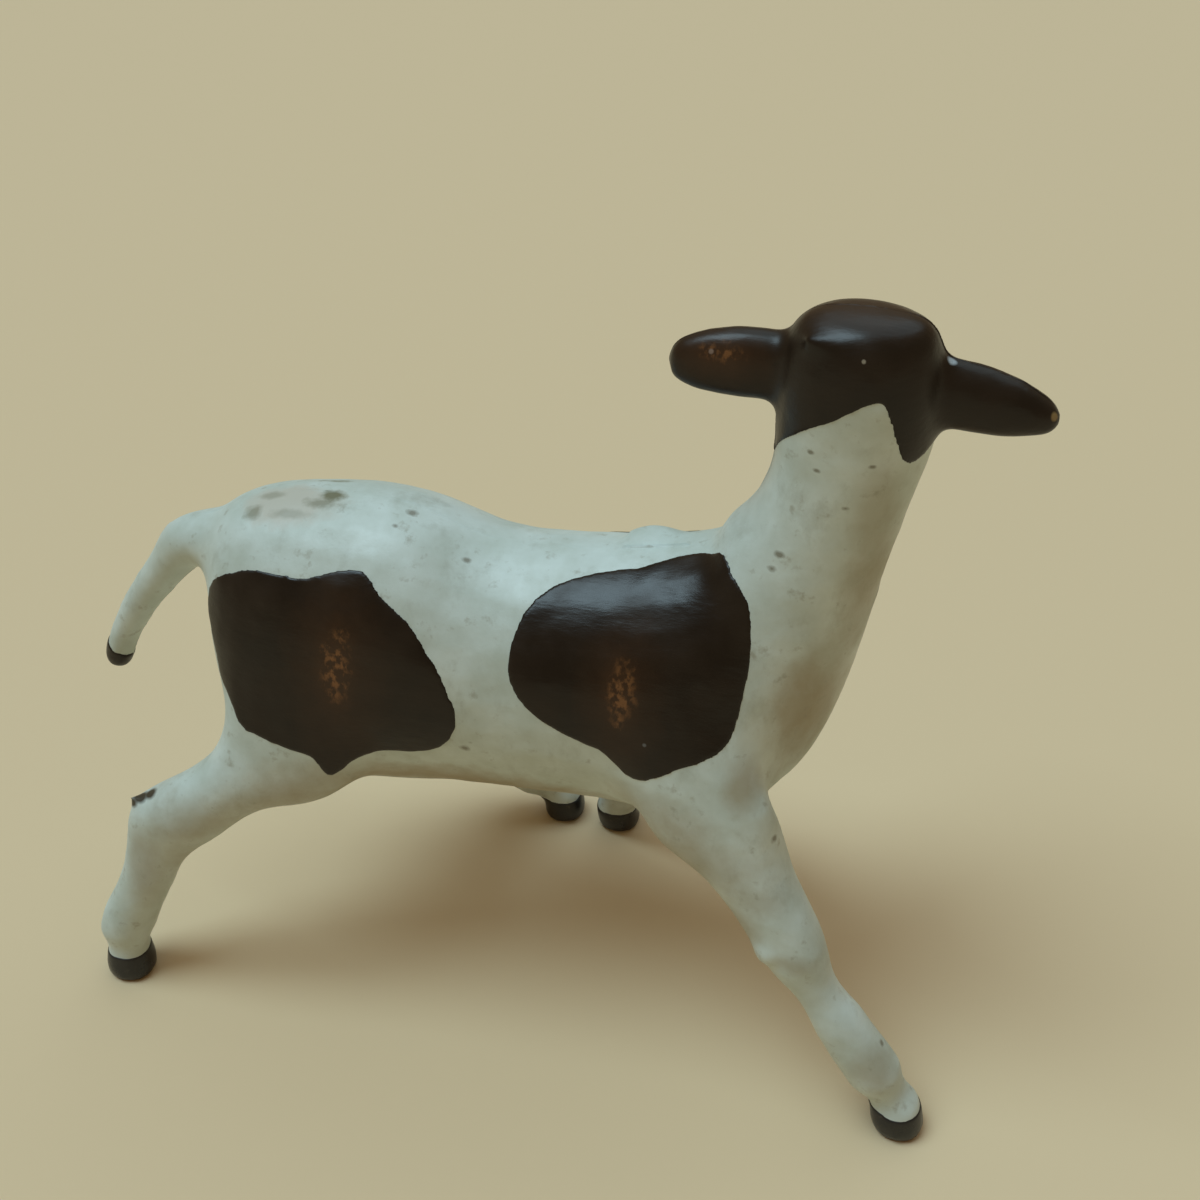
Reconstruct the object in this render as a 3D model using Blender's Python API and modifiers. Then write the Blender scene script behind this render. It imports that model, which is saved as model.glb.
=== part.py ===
"""A small hand-painted toy calf in a gallop, with its head turned to its left.

The real figure is one moulding. One coarse cage gives the whole animal its form, and the form is then
parted at the paint lines, so that each painted zone is a solid of its own. Metres, +Z up, +X towards the
chest, +Y to the calf's left. The four soles stand on z = 0.
"""

import math
from collections import namedtuple

import bmesh
import bpy
from mathutils import Matrix, Vector
from mathutils.bvhtree import BVHTree

# Trunk: from the rump at x = 0 to the point of the breast
TRUNK_LENGTH = 0.0437
TRUNK_DEPTH = 0.0187
TRUNK_WIDTH = 0.0154
TRUNK_AXIS_HEIGHT = 0.0254

# Neck: from its base between the shoulders up to the paint line
NECK_REACH = 0.0031
NECK_RISE = 0.0130
NECK_DEPTH = 0.0084
NECK_WIDTH = 0.0076

# Head, turned to the calf's left: the crown stands on the neck and the face runs out and down from it
CROWN_HEIGHT = 0.0074
CROWN_WIDTH = 0.0088
CROWN_DEPTH = 0.0078
FACE_LENGTH = 0.0102
FACE_DEPTH = 0.0076
FACE_WIDTH = 0.0078
FACE_DROOP = math.radians(42)

# Ears, one to each side of the crown
EAR_LENGTH = 0.0064
EAR_HEIGHT = 0.0042
EAR_THICKNESS = 0.0026
EAR_SEAT = 0.0020

# Legs: how far hip and shoulder lie below the trunk's axis, how far the right soles stand from them, the
# gap between the left soles, which meet under the belly, and each sole's distance from the spine's plane
HIP_DROP = 0.0039
SHOULDER_DROP = 0.0039
RIGHT_HIND_REACH = -0.0115
RIGHT_FORE_REACH = 0.0146
LEFT_SOLE_GAP = 0.0011
HIP_SPREAD = 0.0055
SHOULDER_SPREAD = 0.0060
RIGHT_SOLE_SPREAD = 0.0113
LEFT_SOLE_SPREAD = 0.0123
SHANK_THICKNESS = 0.0036

# Tail
TAIL_REACH = 0.0080
TAIL_DROP = 0.0141
TAIL_THICKNESS = 0.0023

# Painted zones: the paint line under the head rises to the chest and falls to the face
PAINT_RISE = math.radians(20)
PAINT_FALL = math.radians(38)
HEAD_ZONE_CLEARANCE = 0.0012
HOOF_HEIGHT = 0.0019
HOOF_ZONE_CLEARANCE = 0.0009
TAIL_TIP_LENGTH = 0.0016
MUZZLE_LENGTH = 0.0028
MUZZLE_ZONE_CLEARANCE = 0.0003
EYE_DIAMETER = 0.0017
EYE_STAND = 0.0003
PATCH_DEPTH = 0.0009
PAINT_GAP = 0.0003
PATCH_INNER_EDGE = 0.0010
PATCH_TIP = math.radians(35)

# Stations of the trunk: along its length, rise of the centre, depth, width, and lean in degrees
TRUNK_SHARES = [
    (0.062, 0.04, 0.74, 0.55, 0),
    (0.096, 0.045, 0.99, 0.90, 0),
    (0.350, 0.006, 1.185, 1.05, 0),
    (0.430, -0.008, 1.025, 1.02, 0),
    (0.490, -0.035, 0.98, 0.99, 0),
    (0.600, -0.012, 0.97, 1.00, 0),
    (0.715, 0.005, 1.00, 0.99, 0),
    (0.882, 0.089, 1.01, 0.92, 17),
]
# Stations of the neck: forward, up, depth, width, and lean in degrees
NECK_BASE_SHARES = (0.907, 0.33)
NECK_SHARES = [
    (-0.04, 0.012, 1.67, 1.40, 38),
    (0.465, 0.359, 1.14, 1.12, 54),
    (0.83, 0.715, 0.93, 1.02, 75),
    (1.00, 1.00, 1.06, 1.02, 88),
]
# Stations of the crown above the neck: up, width, depth and shift to the nape
CROWN_SHARES = [
    (0.40, 1.06, 1.03, 0.00),
    (0.76, 0.95, 0.95, 0.00),
    (0.98, 0.72, 0.56, -0.09),
]
# Where the face's axis starts above the neck: towards the face, and up
FACE_ROOT_SHARES = (0.19, 0.47)
# Stations of the face: along its own axis, lift off it, depth, width, and its part of the droop
FACE_SHARES = [
    (0.35, 0.150, 0.90, 0.98, 0.19),
    (0.56, 0.115, 0.78, 0.86, 0.64),
    (0.77, 0.070, 0.66, 0.72, 0.95),
    (0.91, 0.020, 0.62, 0.68, 1.00),
    (1.00, 0.000, 0.44, 0.52, 1.00),
]
# Height of the ears' roots on the crown, and how far each ear hangs and narrows to its tip: the animal's
# right, and its left
EAR_RISE_SHARES = {-1: 0.405, 1: 0.44}
EAR_DROOP_SHARES = {-1: 0.10, 1: -0.12}
EAR_TAPER_SHARES = {-1: 0.36, 1: 0.0}
# Stations of an ear from root to tip: along, drop, height and thickness
EAR_SHARES = [
    (0.00, 0.00, 0.80, 0.90),
    (0.30, 0.00, 1.00, 1.00),
    (0.62, 0.05, 1.00, 1.00),
    (0.88, 0.12, 0.74, 0.80),
    (1.00, 0.16, 0.40, 0.50),
]
# Stations of a leg from the trunk down: reach, drop, spread, and the half sizes to the front, the rear
# and the sides as shares of half the shank
HIND_TRAILING_SHARES = [
    (0.02, 0.118, 0.14, 3.9, 2.4, 1.65),
    (0.157, 0.237, 0.33, 0.75, 1.8, 1.50),
    (0.417, 0.320, 0.51, 1.25, 1.5, 1.35),
    (0.678, 0.414, 0.68, 1.45, 2.15, 1.15),
    (0.810, 0.563, 0.78, 1.15, 0.72, 0.95),
    (0.920, 0.710, 0.86, 1.05, 1.00, 0.95),
    (0.990, 0.830, 0.92, 1.05, 1.28, 1.04),
    (1.000, 0.900, 0.97, 0.92, 0.92, 0.90),
    (1.000, 0.980, 1.00, 0.95, 0.95, 0.92),
    (1.000, 1.056, 1.00, 0.90, 0.90, 0.90),
]
HIND_REACHING_SHARES = [
    (0.16, 0.125, 0.14, 2.6, 2.4, 1.65),
    (0.30, 0.260, 0.33, 2.0, 1.8, 1.50),
    (0.37, 0.400, 0.51, 1.5, 1.5, 1.30),
    (0.42, 0.560, 0.68, 1.2, 1.6, 1.12),
    (0.56, 0.675, 0.78, 1.05, 0.95, 1.00),
    (0.71, 0.760, 0.86, 1.00, 0.85, 0.97),
    (0.86, 0.820, 0.94, 1.02, 1.00, 1.00),
    (0.965, 0.870, 0.98, 0.92, 0.88, 0.92),
    (1.01, 0.940, 1.00, 0.95, 0.92, 0.92),
    (1.01, 1.056, 1.00, 0.90, 0.90, 0.90),
]
FORE_REACHING_SHARES = [
    (0.00, 0.055, 0.10, 3.4, 2.7, 1.75),
    (0.116, 0.181, 0.29, 2.1, 1.0, 1.45),
    (0.260, 0.302, 0.48, 1.65, 0.92, 1.20),
    (0.425, 0.423, 0.66, 1.45, 1.0, 1.12),
    (0.534, 0.520, 0.75, 0.9, 0.9, 0.92),
    (0.657, 0.628, 0.84, 0.9, 0.9, 0.90),
    (0.808, 0.758, 0.92, 1.0, 1.05, 1.00),
    (0.918, 0.860, 0.96, 0.95, 0.95, 0.94),
    (0.980, 0.944, 1.00, 0.95, 0.95, 0.92),
    (1.000, 1.050, 1.00, 0.90, 0.90, 0.90),
]
FORE_TRAILING_SHARES = [
    (-0.10, 0.080, 0.10, 2.0, 2.0, 1.60),
    (0.06, 0.200, 0.29, 1.65, 1.7, 1.42),
    (0.24, 0.330, 0.48, 1.3, 1.35, 1.20),
    (0.45, 0.470, 0.66, 1.2, 1.1, 1.12),
    (0.62, 0.590, 0.75, 0.9, 0.9, 0.92),
    (0.80, 0.710, 0.84, 0.9, 0.9, 0.90),
    (0.98, 0.820, 0.92, 1.0, 1.05, 1.00),
    (1.02, 0.900, 0.96, 0.95, 0.95, 0.94),
    (1.00, 0.960, 1.00, 0.95, 0.95, 0.92),
    (1.00, 1.050, 1.00, 0.90, 0.90, 0.90),
]
# Stations of the tail: back, down and thickness
TAIL_ROOT_SHARES = (0.000, 0.40)
TAIL_SHARES = [
    (-0.02, 0.12, 1.70),
    (0.17, 0.25, 1.32),
    (0.41, 0.41, 1.08),
    (0.65, 0.60, 0.97),
    (0.845, 0.78, 0.92),
    (0.95, 0.93, 0.86),
    (1.00, 1.00, 0.70),
]

# Where legs leave the trunk: the station behind the root, and the joint's place along the trunk. The
# middle between the left soles has its own place along it
HIND_STATION = 1
FORE_STATION = 6
HIP_SHARE = 0.165
SHOULDER_SHARE = 0.838
LEFT_SOLES_SHARE = 0.5553

# Outlines of the patches as seen square to the tipped view of the flank: shares of the trunk's length,
# and of its depth from the trunk's axis up
RIGHT_HIP_SHARES = [
    (0.076, 0.040),
    (0.090, 0.098),
    (0.138, 0.141),
    (0.190, 0.150),
    (0.245, 0.148),
    (0.280, 0.176),
    (0.327, 0.196),
    (0.352, 0.135),
    (0.392, 0.063),
    (0.437, -0.064),
    (0.464, -0.182),
    (0.466, -0.265),
    (0.443, -0.334),
    (0.395, -0.370),
    (0.345, -0.386),
    (0.306, -0.440),
    (0.277, -0.500),
    (0.255, -0.445),
    (0.210, -0.418),
    (0.153, -0.385),
    (0.125, -0.310),
    (0.100, -0.200),
    (0.083, -0.060),
]
RIGHT_SHOULDER_SHARES = [
    (0.566, 0.150),
    (0.595, 0.235),
    (0.655, 0.301),
    (0.709, 0.332),
    (0.761, 0.387),
    (0.820, 0.413),
    (0.839, 0.351),
    (0.863, 0.274),
    (0.873, 0.167),
    (0.872, 0.040),
    (0.864, -0.114),
    (0.846, -0.203),
    (0.800, -0.264),
    (0.752, -0.326),
    (0.721, -0.315),
    (0.684, -0.250),
    (0.634, -0.218),
    (0.594, -0.172),
    (0.563, -0.103),
    (0.552, -0.030),
    (0.556, 0.060),
]
LEFT_HIP_SHARES = [
    (0.085, -0.120),
    (0.095, 0.030),
    (0.180, 0.140),
    (0.300, 0.170),
    (0.400, 0.080),
    (0.405, -0.080),
    (0.445, -0.200),
    (0.400, -0.350),
    (0.290, -0.400),
    (0.180, -0.370),
    (0.110, -0.260),
]
LEFT_SHOULDER_SHARES = [
    (0.590, -0.080),
    (0.575, 0.060),
    (0.640, 0.200),
    (0.745, 0.270),
    (0.820, 0.220),
    (0.825, 0.090),
    (0.865, -0.060),
    (0.830, -0.220),
    (0.735, -0.280),
    (0.650, -0.200),
]
# Tongue of dark paint on the right cheek, and on under the right ear: shares of the crown's width and
# height from the crown's foot
TONGUE_SHARES = [
    (0.10, 0.70),
    (0.15, 0.55),
    (0.25, 0.22),
    (0.32, 0.04),
    (0.37, -0.01),
    (0.42, 0.01),
    (0.49, 0.07),
    (0.60, -0.10),
    (0.90, -0.25),
    (1.30, -0.30),
    (1.45, 0.30),
    (1.30, 1.00),
    (0.60, 1.05),
    (0.20, 0.95),
]
# Widest part of the muzzle and its lift off the face's axis, as shares of the face's width and depth
MUZZLE_WIDTH_SHARE = 0.75
MUZZLE_LIFT_SHARE = 0.07
# Place of an eye on the face: along its axis, and lifted above it
EYE_ALONG_SHARE = 0.36
EYE_LIFT_SHARE = 0.24

# Facets
ROUND_SIDES = 8
FORM_LEVELS = 2
FLOOR_LEVELS = 1
OUTLINE_STEPS = 2
EYE_SEGMENTS = 16
EYE_RINGS = 8
WELD_DISTANCE = 0.000001
CRISP_ANGLE = math.radians(40)

# A subdivided ring draws in towards its centre, so its cage stands this much wider
ROUND_SWELL_SHARE = 1.10
SQUARE_SWELL_SHARE = 1.06
DIAMOND_SWELL_SHARE = 1.50

RIGHT = -1
LEFT = 1
UP = Vector((0, 0, 1))
ASIDE = Vector((0, 1, 0))
AHEAD = Vector((1, 0, 0))


def clear_scene():
    for obj in list(bpy.data.objects):
        bpy.data.objects.remove(obj)


def new_collection(name):
    collection = bpy.data.collections.new(name)
    bpy.context.scene.collection.children.link(collection)
    return collection


def new_material(name, colour, roughness):
    material = bpy.data.materials.new(name)
    material.use_nodes = True
    material.diffuse_color = (*colour, 1)
    shader = material.node_tree.nodes["Principled BSDF"]
    shader.inputs["Base Color"].default_value = (*colour, 1)
    shader.inputs["Roughness"].default_value = roughness
    shader.inputs["Metallic"].default_value = 0
    return material


def new_object(name, mesh, collection, parent):
    obj = bpy.data.objects.new(name, mesh)
    collection.objects.link(obj)
    obj.parent = parent
    return obj


def new_cutter(name, bm, collection, parent):
    bmesh.ops.recalc_face_normals(bm, faces=bm.faces)
    mesh = bpy.data.meshes.new(name)
    bm.to_mesh(mesh)
    bm.free()
    cutter = new_object(name, mesh, collection, parent)
    cutter.hide_render = True
    cutter.display_type = "WIRE"
    return cutter


def add_boolean(obj, operation, cutter):
    modifier = obj.modifiers.new(cutter.name, "BOOLEAN")
    modifier.operation = operation
    modifier.object = cutter


def add_subdivision(obj, levels=FORM_LEVELS):
    modifier = obj.modifiers.new("soft_form", "SUBSURF")
    modifier.levels = levels
    modifier.render_levels = levels


def lift_of(lean_degrees):
    """The direction from a ring's centre to its back, tipped rearwards by the lean."""
    lean = math.radians(lean_degrees)
    return Vector((-math.sin(lean), 0, math.cos(lean)))


def add_round_ring(bm, centre, lift, across, half_lift, half_across):
    """Eight points: the first at the lift, the third against the across direction."""
    ring = []
    for step in range(ROUND_SIDES):
        angle = math.tau * step / ROUND_SIDES
        point = centre + lift * half_lift * math.cos(angle) * ROUND_SWELL_SHARE
        point -= across * half_across * math.sin(angle) * ROUND_SWELL_SHARE
        ring.append(bm.verts.new(point))
    return ring


def join_rings(bm, first, second, open_sides=()):
    count = len(first)
    for side in range(count):
        if side not in open_sides:
            following = (side + 1) % count
            bm.faces.new((first[side], first[following], second[following], second[side]))


def close_ring(bm, ring, centre, open_quads=()):
    """Closes a ring of eight with four quads round a middle point, and returns that point."""
    middle = bm.verts.new(centre)
    for quad in range(len(ring) // 2):
        if quad not in open_quads:
            start = 2 * quad - 1
            corners = [ring[(start + step) % len(ring)] for step in range(3)]
            bm.faces.new((middle, *corners))
    return middle


def trunk_rings(bm, inset=0):
    rings = []
    for along, rise, depth, width, lean in TRUNK_SHARES:
        centre = Vector((along * TRUNK_LENGTH, 0, TRUNK_AXIS_HEIGHT + rise * TRUNK_DEPTH))
        half_depth = depth * TRUNK_DEPTH / 2 - inset
        half_width = width * TRUNK_WIDTH / 2 - inset
        rings.append(add_round_ring(bm, centre, lift_of(lean), ASIDE, half_depth, half_width))
    return rings


def neck_base():
    along, rise = NECK_BASE_SHARES
    return Vector((along * TRUNK_LENGTH, 0, TRUNK_AXIS_HEIGHT + rise * TRUNK_DEPTH))


def neck_rings(bm, inset=0):
    rings = []
    for forward, up, depth, width, lean in NECK_SHARES:
        centre = neck_base() + Vector((forward * NECK_REACH, 0, up * NECK_RISE))
        half_depth = depth * NECK_DEPTH / 2 - inset
        half_width = width * NECK_WIDTH / 2 - inset
        rings.append(add_round_ring(bm, centre, lift_of(lean), ASIDE, half_depth, half_width))
    return rings


def crown_base():
    return neck_base() + Vector((NECK_REACH, 0, NECK_RISE))


def crown_rings(bm):
    rings = []
    for up, width, depth, shift in CROWN_SHARES:
        centre = crown_base() + Vector((0, shift * CROWN_DEPTH, up * CROWN_HEIGHT))
        half_width = width * CROWN_WIDTH / 2
        half_depth = depth * CROWN_DEPTH / 2
        rings.append(add_round_ring(bm, centre, -AHEAD, ASIDE, half_width, half_depth))
    return rings


def face_axis():
    return Vector((0, math.cos(FACE_DROOP), -math.sin(FACE_DROOP)))


def face_lift(droop=FACE_DROOP):
    return Vector((0, math.sin(droop), math.cos(droop)))


def face_root():
    ahead, rise = FACE_ROOT_SHARES
    return crown_base() + Vector((0, CROWN_DEPTH * ahead, CROWN_HEIGHT * rise))


def add_face(bm, lower, middle, upper):
    """The face grows from the left side of the crown, round the eight points of three rings."""
    root = [lower[6], lower[7], middle[7], upper[7], upper[6], upper[5], middle[5], lower[5]]
    for along, lift, depth, width, droop in FACE_SHARES:
        centre = face_root() + face_axis() * along * FACE_LENGTH + face_lift() * lift * FACE_DEPTH
        half_depth = depth * FACE_DEPTH / 2
        half_width = width * FACE_WIDTH / 2
        lift_way = -face_lift(droop * FACE_DROOP)
        ring = add_round_ring(bm, centre, lift_way, AHEAD, half_depth, half_width)
        join_rings(bm, root, ring)
        root = ring
    close_ring(bm, root, centre)


def add_limb(bm, root, stations):
    """Grows a tube of four-point rings from a quad of the trunk. A station is the list of its corners."""
    for corners in stations:
        ring = [bm.verts.new(corner) for corner in corners]
        join_rings(bm, root, ring)
        root = ring
    bm.faces.new(root)


def path_directions(points):
    directions = []
    for index in range(len(points)):
        before = points[max(index - 1, 0)]
        after = points[min(index + 1, len(points) - 1)]
        directions.append((after - before).normalized())
    return directions


def sole_centre(leg):
    return Vector((leg.joint.x + leg.reach, leg.side * leg.spread, 0))


def leg_stations(leg):
    """Corners of each ring of a leg, in the order of the quad that it grows from."""
    aside_run = leg.spread - abs(leg.joint.y)
    centres = []
    for along, drop, aside, *_ in leg.shares:
        offset = Vector((along * leg.reach, leg.side * aside * aside_run, -drop * leg.joint.z))
        centres.append(leg.joint + offset)
    stations = []
    for centre, direction, share in zip(centres, path_directions(centres), leg.shares):
        across = (ASIDE - direction * ASIDE.dot(direction)).normalized()
        ahead = direction.cross(across)
        front, rear, flank = [value * SHANK_THICKNESS / 2 * SQUARE_SWELL_SHARE for value in share[3:]]
        outer = across * leg.side * flank
        stations.append(
            [
                centre - ahead * rear + outer,
                centre - ahead * rear - outer,
                centre + ahead * front - outer,
                centre + ahead * front + outer,
            ]
        )
    return stations


def leg_root(rear_ring, front_ring, side):
    outer, inner = (2, 3) if side == RIGHT else (6, 5)
    return [rear_ring[outer], rear_ring[inner], front_ring[inner], front_ring[outer]]


def tail_root():
    back, rise = TAIL_ROOT_SHARES
    return Vector((back * TRUNK_LENGTH, 0, TRUNK_AXIS_HEIGHT + rise * TRUNK_DEPTH))


def tail_centres():
    steps = [Vector((-back * TAIL_REACH, 0, -down * TAIL_DROP)) for back, down, _ in TAIL_SHARES]
    return [tail_root() + step for step in steps]


def tail_stations():
    centres = tail_centres()
    stations = []
    for centre, direction, share in zip(centres, path_directions(centres), TAIL_SHARES):
        half = share[2] * TAIL_THICKNESS / 2 * DIAMOND_SWELL_SHARE
        corners = [ASIDE.cross(direction), -ASIDE, direction.cross(ASIDE), ASIDE]
        stations.append([centre + corner * half for corner in corners])
    return stations


Leg = namedtuple("Leg", "name side station joint reach spread shares")


def leg_joint(along_share, spread, drop, side):
    return Vector((along_share * TRUNK_LENGTH, side * spread, TRUNK_AXIS_HEIGHT - drop))


def left_sole_reach(joint, side):
    """The left soles keep a leg's thickness and a gap between them, whatever the trunk's length."""
    step = SHANK_THICKNESS + LEFT_SOLE_GAP
    return LEFT_SOLES_SHARE * TRUNK_LENGTH + side * step / 2 - joint.x


RIGHT_HIP = leg_joint(HIP_SHARE, HIP_SPREAD, HIP_DROP, RIGHT)
LEFT_HIP = leg_joint(HIP_SHARE, HIP_SPREAD, HIP_DROP, LEFT)
RIGHT_SHOULDER = leg_joint(SHOULDER_SHARE, SHOULDER_SPREAD, SHOULDER_DROP, RIGHT)
LEFT_SHOULDER = leg_joint(SHOULDER_SHARE, SHOULDER_SPREAD, SHOULDER_DROP, LEFT)
LEFT_HIND_REACH = left_sole_reach(LEFT_HIP, -1)
LEFT_FORE_REACH = left_sole_reach(LEFT_SHOULDER, 1)
RIGHT_HIND = (RIGHT_HIP, RIGHT_HIND_REACH, RIGHT_SOLE_SPREAD, HIND_TRAILING_SHARES)
LEFT_HIND = (LEFT_HIP, LEFT_HIND_REACH, LEFT_SOLE_SPREAD, HIND_REACHING_SHARES)
RIGHT_FORE = (RIGHT_SHOULDER, RIGHT_FORE_REACH, RIGHT_SOLE_SPREAD, FORE_REACHING_SHARES)
LEFT_FORE = (LEFT_SHOULDER, LEFT_FORE_REACH, LEFT_SOLE_SPREAD, FORE_TRAILING_SHARES)
LEGS = [
    Leg("right_hind", RIGHT, HIND_STATION, *RIGHT_HIND),
    Leg("left_hind", LEFT, HIND_STATION, *LEFT_HIND),
    Leg("right_fore", RIGHT, FORE_STATION, *RIGHT_FORE),
    Leg("left_fore", LEFT, FORE_STATION, *LEFT_FORE),
]


def build_cage():
    """The whole animal as one closed cage of quads. The legs' inner sides start halfway to the belly."""
    bm = bmesh.new()
    rings = trunk_rings(bm) + neck_rings(bm) + crown_rings(bm)
    leg_sides = {(leg.station, 2 if leg.side == RIGHT else 5) for leg in LEGS}
    top = len(rings) - 1
    for index in range(top):
        open_sides = {side for station, side in leg_sides if station == index}
        if index in (top - 3, top - 2):
            open_sides |= {5, 6}
        join_rings(bm, rings[index], rings[index + 1], open_sides)
    rump = close_ring(bm, rings[0], Vector((0, 0, TRUNK_AXIS_HEIGHT)), open_quads=(0,))
    crown_top = crown_base() + Vector((0, 0, CROWN_HEIGHT))
    close_ring(bm, rings[top], crown_top)
    add_face(bm, rings[top - 3], rings[top - 2], rings[top - 1])
    add_limb(bm, [rings[0][0], rings[0][1], rump, rings[0][7]], tail_stations())
    for leg in LEGS:
        root = leg_root(rings[leg.station], rings[leg.station + 1], leg.side)
        stations = leg_stations(leg)
        for inner in (1, 2):
            stations[0][inner] = (root[inner].co + stations[1][inner]) / 2
        add_limb(bm, root, stations)
    loose = [vert for vert in bm.verts if not vert.link_faces]
    bmesh.ops.delete(bm, geom=loose, context="VERTS")
    bmesh.ops.recalc_face_normals(bm, faces=bm.faces)
    return bm


def build_ear(side):
    """A paddle of four-point rings, from a root sunk in the crown to its tip. The animal's right is +X."""
    bm = bmesh.new()
    outward = -AHEAD * side
    rise = UP * CROWN_HEIGHT * EAR_RISE_SHARES[side]
    root = crown_base() + rise + outward * (CROWN_WIDTH / 2 - EAR_SEAT)
    rings = []
    droop = EAR_DROOP_SHARES[side]
    for along, drop, height, thickness in EAR_SHARES:
        sunk = UP * (drop + along * droop) * EAR_HEIGHT
        centre = root + outward * along * (EAR_LENGTH + EAR_SEAT) - sunk
        height *= 1 - EAR_TAPER_SHARES[side] * along**3
        lift = UP * height * EAR_HEIGHT / 2 * SQUARE_SWELL_SHARE
        flank = ASIDE * thickness * EAR_THICKNESS / 2 * SQUARE_SWELL_SHARE
        corners = [lift + flank, lift - flank, -lift - flank, flank - lift]
        rings.append([bm.verts.new(centre + corner) for corner in corners])
    for index in range(len(rings) - 1):
        join_rings(bm, rings[index], rings[index + 1])
    bm.faces.new(rings[0])
    bm.faces.new(rings[-1])
    bmesh.ops.recalc_face_normals(bm, faces=bm.faces)
    return bm


def mesh_of(name, bm):
    mesh = bpy.data.meshes.new(name)
    bm.to_mesh(mesh)
    bm.free()
    return mesh


def evaluated_mesh(obj):
    bpy.context.view_layer.update()
    graph = bpy.context.evaluated_depsgraph_get()
    return bpy.data.meshes.new_from_object(obj.evaluated_get(graph))


def slab_cutter(name, origin, normal, size, depth, collection, parent):
    """A square block whose lower face is centred on the origin and square to the normal."""
    bm = bmesh.new()
    bmesh.ops.create_cube(bm, size=1)
    bmesh.ops.scale(bm, verts=bm.verts, vec=(size, size, depth))
    bmesh.ops.translate(bm, verts=bm.verts, vec=UP * depth / 2)
    turn = normal.to_track_quat("Z", "Y").to_matrix().to_4x4()
    bmesh.ops.transform(bm, verts=bm.verts, matrix=Matrix.Translation(origin) @ turn)
    return new_cutter(name, bm, collection, parent)


def build_form(collection, parent):
    """The whole animal as one smooth closed mesh, standing on flat soles."""
    calf = new_object("whole_calf", mesh_of("whole_calf", build_cage()), collection, parent)
    add_subdivision(calf)
    for side in (RIGHT, LEFT):
        ear = new_cutter(f"ear_form_{side}", build_ear(side), collection, parent)
        add_subdivision(ear)
        add_boolean(calf, "UNION", ear)
    middle = Vector((TRUNK_LENGTH / 2, 0, 0))
    floor = slab_cutter("floor", middle, -UP, 4 * TRUNK_LENGTH, TRUNK_LENGTH, collection, parent)
    add_boolean(calf, "DIFFERENCE", floor)
    form = evaluated_mesh(calf)
    bpy.data.objects.remove(calf)
    return form


def smooth_outline(points):
    """A closed smooth line through the points, with a few steps from each to the next."""
    count = len(points)
    line = []
    for index in range(count):
        before, start, end, after = [points[(index + shift - 1) % count] for shift in range(4)]
        for step in range(OUTLINE_STEPS):
            t = step / OUTLINE_STEPS
            run = (end - before) * t + (before * 2 - start * 5 + end * 4 - after) * t**2
            run += (start * 3 - before - end * 3 + after) * t**3
            line.append(start + run / 2)
    return line


def grown_outline(line, distance):
    """The same line moved out by the distance, square to itself."""
    count = len(line)
    area = sum(line[index - 1].cross(line[index]) for index in range(count))
    outward = math.copysign(distance, area)
    grown = []
    for index in range(count):
        along = (line[(index + 1) % count] - line[index - 1]).normalized()
        grown.append(line[index] + Vector((along.y, -along.x)) * outward)
    return grown


def outline_cutter(name, line, inner, outer, tip, foot, workshop):
    """A prism between two distances from the foot, on an outline in the plane of X and Z, tipped back."""
    curve = bpy.data.curves.new(name, "CURVE")
    curve.dimensions = "2D"
    curve.fill_mode = "BOTH"
    curve.extrude = abs(outer - inner) / 2
    spline = curve.splines.new("POLY")
    spline.points.add(len(line) - 1)
    for point, place in zip(spline.points, line):
        point.co = (place.x, place.y, 0, 1)
    spline.use_cyclic_u = True
    outline = bpy.data.objects.new(name, curve)
    workshop.cutters.objects.link(outline)
    bm = bmesh.new()
    bm.from_mesh(evaluated_mesh(outline))
    bpy.data.objects.remove(outline)
    bmesh.ops.remove_doubles(bm, verts=bm.verts, dist=WELD_DISTANCE)
    upright = Matrix.Rotation(math.pi / 2, 4, "X")
    tipped = Matrix.Rotation(tip, 4, "X") @ Matrix.Translation(ASIDE * (inner + outer) / 2)
    bmesh.ops.transform(bm, verts=bm.verts, matrix=Matrix.Translation(foot) @ tipped @ upright)
    return new_cutter(name, bm, workshop.cutters, workshop.origin)


def trunk_core(name, inset, collection, parent):
    """The trunk alone, drawn in all round by the inset: the floor under the patches."""
    bm = bmesh.new()
    rings = trunk_rings(bm, inset) + neck_rings(bm, inset)[:1]
    for index in range(len(rings) - 1):
        join_rings(bm, rings[index], rings[index + 1])
    close_ring(bm, rings[0], ring_middle(rings[0]))
    close_ring(bm, rings[-1], ring_middle(rings[-1]))
    core = new_cutter(name, bm, collection, parent)
    add_subdivision(core, FLOOR_LEVELS)
    return core


def ring_middle(ring):
    return sum((vert.co for vert in ring), Vector()) / len(ring)


def patch_line(shares):
    return smooth_outline([Vector((along * TRUNK_LENGTH, up * TRUNK_DEPTH)) for along, up in shares])


def add_patch(name, shares, side, form, body, material, workshop):
    """A patch is the skin of the form inside its outline, and lies in a pocket that is a gap wider."""
    foot = UP * TRUNK_AXIS_HEIGHT
    tip = side * PATCH_TIP
    inner = side * PATCH_INNER_EDGE
    outer = side * TRUNK_WIDTH
    line = patch_line(shares)
    outline = outline_cutter(f"{name}_outline", line, inner, outer, tip, foot, workshop)
    patch = new_part(name, form, material, workshop)
    add_boolean(patch, "INTERSECT", outline)
    add_boolean(patch, "DIFFERENCE", workshop.core)
    wider = grown_outline(line, PAINT_GAP)
    inner -= side * PAINT_GAP
    pocket = outline_cutter(f"{name}_pocket", wider, inner, outer, tip, foot, workshop)
    add_boolean(pocket, "DIFFERENCE", workshop.deep_core)
    add_boolean(body, "DIFFERENCE", pocket)


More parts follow.
